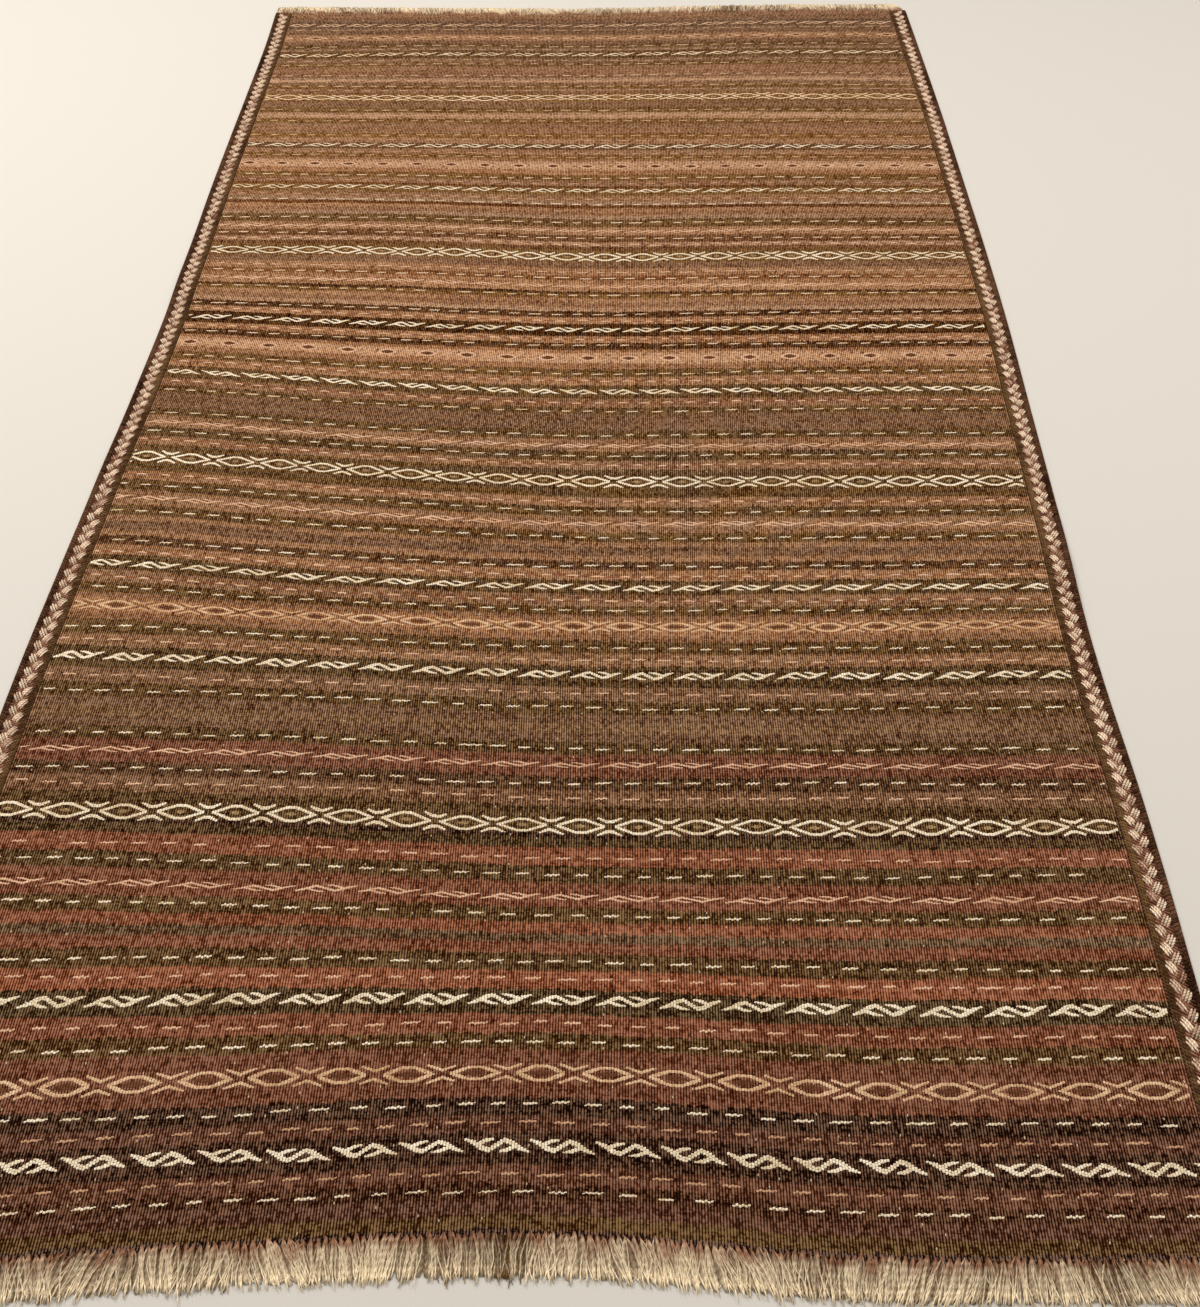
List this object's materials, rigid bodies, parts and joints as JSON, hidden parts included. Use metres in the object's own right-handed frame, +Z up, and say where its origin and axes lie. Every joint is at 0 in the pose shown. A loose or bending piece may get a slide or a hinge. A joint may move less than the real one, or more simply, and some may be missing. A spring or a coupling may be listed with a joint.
{
  "type": "soumak rug",
  "caption": "Long flat-woven wool rug with soumak ornament bands, overcast side bindings and a warp fringe at each end, lying flat.",
  "frame": {"origin": "middle of the rug's footprint, on the surface that it lies on", "axes": "+X across the rug, +Y along it towards the far fringe, +Z up"},
  "size_m": [1.5296, 2.8459, 0.0091],
  "materials": {
    "woven_wool": "weft-faced flat weave in brick, olive brown and rust wool, matt",
    "overcast_wool": "overcast dark wool cord with a braided cream and rust row, matt",
    "warp_yarn": "plied undyed warp yarn, cream to beige, matt"
  },
  "bodies": {
    "root": {"rug_cloth": "woven_wool", "binding_left": "overcast_wool", "binding_right": "overcast_wool", "fringe_near": "warp_yarn", "fringe_far": "warp_yarn"}
  },
  "joints": []
}
